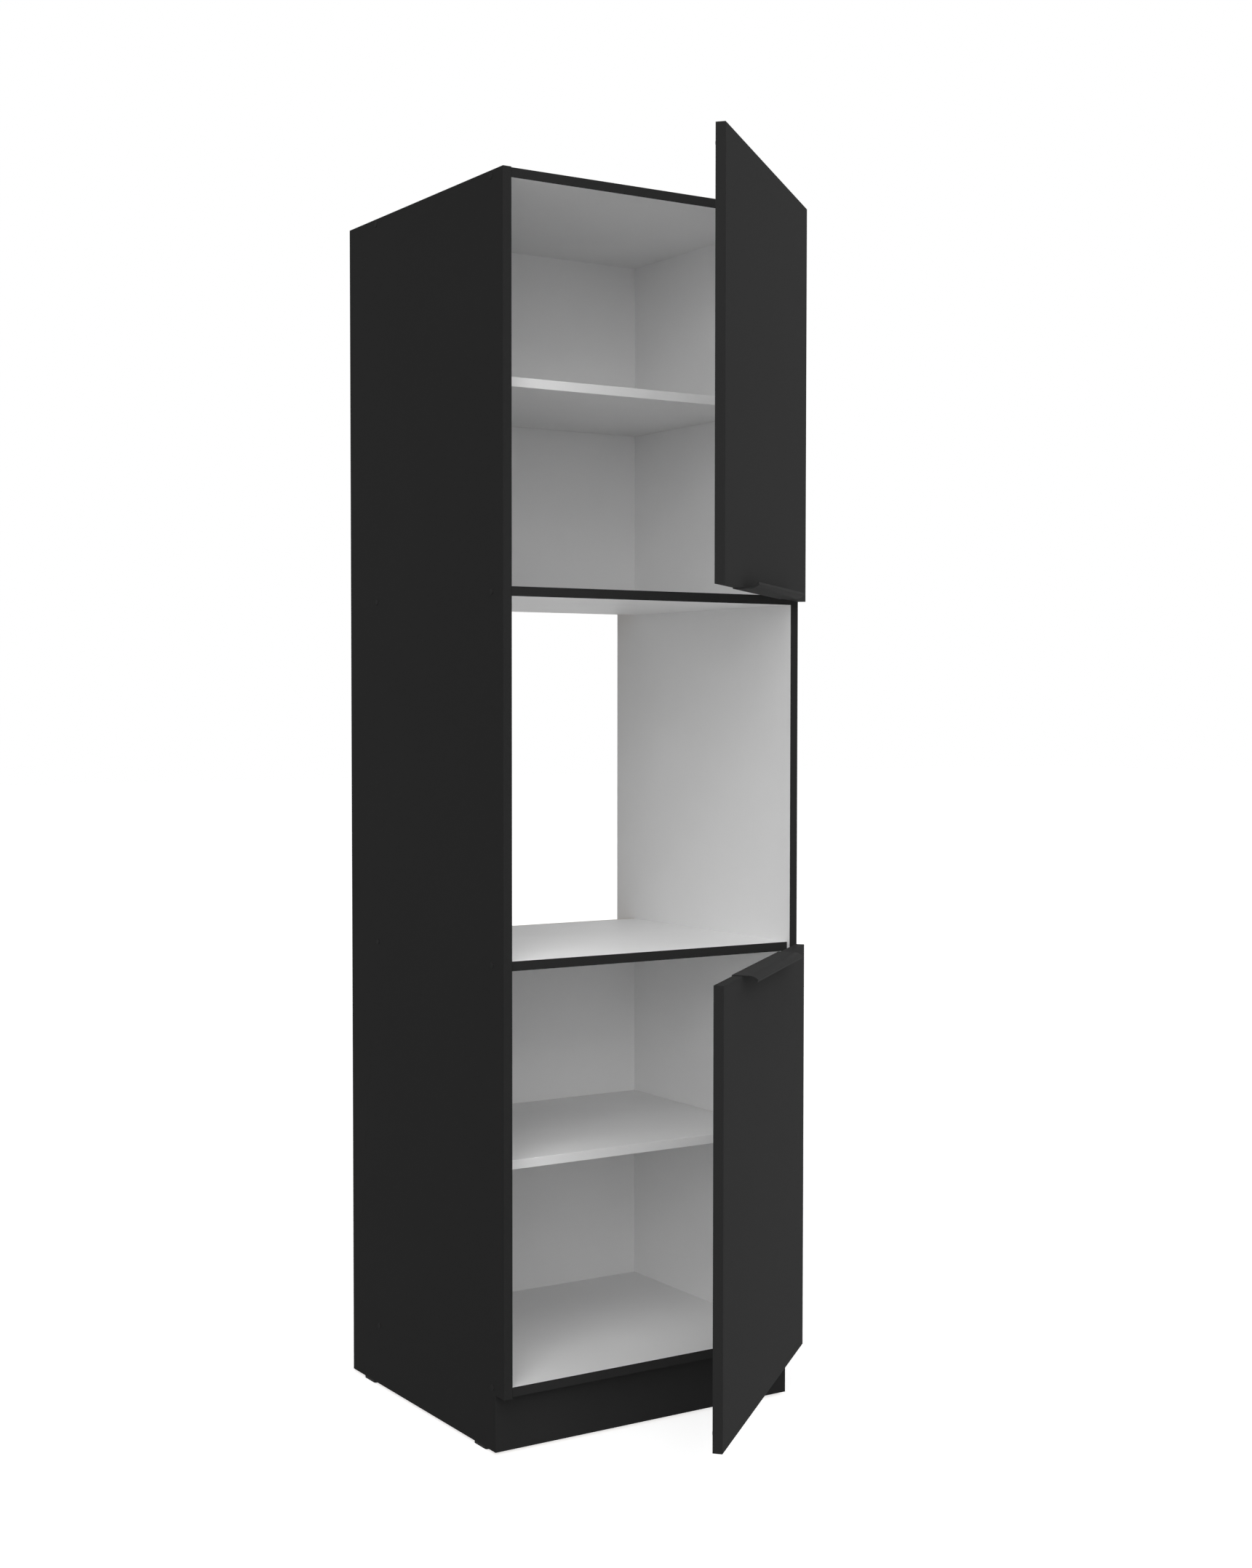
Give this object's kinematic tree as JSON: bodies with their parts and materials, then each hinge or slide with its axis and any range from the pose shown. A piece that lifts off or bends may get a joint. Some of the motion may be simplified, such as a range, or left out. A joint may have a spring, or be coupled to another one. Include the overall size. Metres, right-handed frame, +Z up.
{
  "type": "tall kitchen cabinet",
  "caption": "Tall kitchen cabinet with a lower cupboard, an open oven niche and an upper cupboard, right-hung doors on concealed hinges and bent edge-pull handles.",
  "frame": {"origin": "on the floor, at the centre of the carcass's footprint", "axes": "+X to the right seen from the front, +Y from the front to the back, +Z up"},
  "size_m": [0.602, 0.9857, 2.12],
  "materials": {
    "dark_board": "matt dark facing on board",
    "light_board": "matt white facing on board",
    "light_back": "smooth white lacquer on thin hardboard",
    "dark_edging": "matt",
    "dark_metal": "satin dark coating",
    "hinge_steel": "nickel plated",
    "screw_steel": "zinc plated",
    "black_plastic": "matt",
    "soft_pad": "soft translucent",
    "beech": "raw turned wood"
  },
  "bodies": {
    "carcass": {"left_side_panel": "dark_board", "right_side_panel": "dark_board", "top_panel": "light_board", "niche_ceiling_panel": "light_board", "niche_floor_panel": "light_board", "bottom_panel": "light_board", "plinth_board": "dark_board", "upper_back_panel": "light_back", "lower_back_panel": "light_back", "upper_shelf": "light_board", "lower_shelf": "light_board", "panel_edge_bands": "dark_edging", "shelf_pins": "screw_steel", "floor_glides": "black_plastic", "assembly_screws": "screw_steel", "screw_caps": "black_plastic", "wood_dowels": "beech", "back_panel_screws": "screw_steel", "wall_brackets": "hinge_steel", "wall_bracket_screws": "screw_steel", "hinge_mounting_plates": "hinge_steel", "hinge_plate_screws": "screw_steel", "hinge_arms": "hinge_steel", "hinge_arm_screws": "screw_steel", "hinge_arm_pins": "hinge_steel"},
    "upper_hinge_inner_links": {"upper_inner_links": "hinge_steel"},
    "upper_hinge_outer_links": {"upper_outer_links": "hinge_steel"},
    "upper_door": {"upper_door_panel": "dark_board", "upper_door_handle": "dark_metal", "upper_handle_screws": "screw_steel", "upper_door_bumpers": "soft_pad", "upper_hinge_cups": "hinge_steel", "upper_cup_screws": "screw_steel", "upper_cup_pins": "hinge_steel"},
    "lower_hinge_inner_links": {"lower_inner_links": "hinge_steel"},
    "lower_hinge_outer_links": {"lower_outer_links": "hinge_steel"},
    "lower_door": {"lower_door_panel": "dark_board", "lower_door_handle": "dark_metal", "lower_handle_screws": "screw_steel", "lower_door_bumpers": "soft_pad", "lower_hinge_cups": "hinge_steel", "lower_cup_screws": "screw_steel", "lower_cup_pins": "hinge_steel"}
  },
  "joints": [
    {"name": "upper_inner_links_turn", "type": "hinge", "parent": "carcass", "child": "upper_hinge_inner_links", "pos_m": [0.26484, -0.29007, 1.77525], "axis": [0, 0, 1], "range_deg": [-38.74, 29.29]},
    {"name": "upper_door_swing", "type": "hinge", "parent": "upper_hinge_inner_links", "child": "upper_door", "pos_m": [0.28583, -0.30456, 1.77525], "axis": [0, 0, 1], "range_deg": [-70.18, 92.84]},
    {"name": "upper_outer_links_turn", "type": "hinge", "parent": "carcass", "child": "upper_hinge_outer_links", "pos_m": [0.25227, -0.28154, 1.77525], "axis": [0, 0, 1], "range_deg": [-29.32, 22.17]},
    {"name": "lower_inner_links_turn", "type": "hinge", "parent": "carcass", "child": "lower_hinge_inner_links", "pos_m": [0.26484, -0.29007, 0.4643], "axis": [0, 0, 1], "range_deg": [-38.74, 29.29]},
    {"name": "lower_door_swing", "type": "hinge", "parent": "lower_hinge_inner_links", "child": "lower_door", "pos_m": [0.28583, -0.30456, 0.4643], "axis": [0, 0, 1], "range_deg": [-70.18, 92.84]},
    {"name": "lower_outer_links_turn", "type": "hinge", "parent": "carcass", "child": "lower_hinge_outer_links", "pos_m": [0.25227, -0.28154, 0.4643], "axis": [0, 0, 1], "range_deg": [-29.32, 22.17]}
  ],
  "couplings": [
    {"joint": "upper_inner_links_turn", "follows": "upper_door_swing", "ratio": -0.41725},
    {"joint": "upper_outer_links_turn", "follows": "upper_door_swing", "ratio": -0.31585},
    {"joint": "lower_inner_links_turn", "follows": "lower_door_swing", "ratio": -0.41725},
    {"joint": "lower_outer_links_turn", "follows": "lower_door_swing", "ratio": -0.31585}
  ]
}
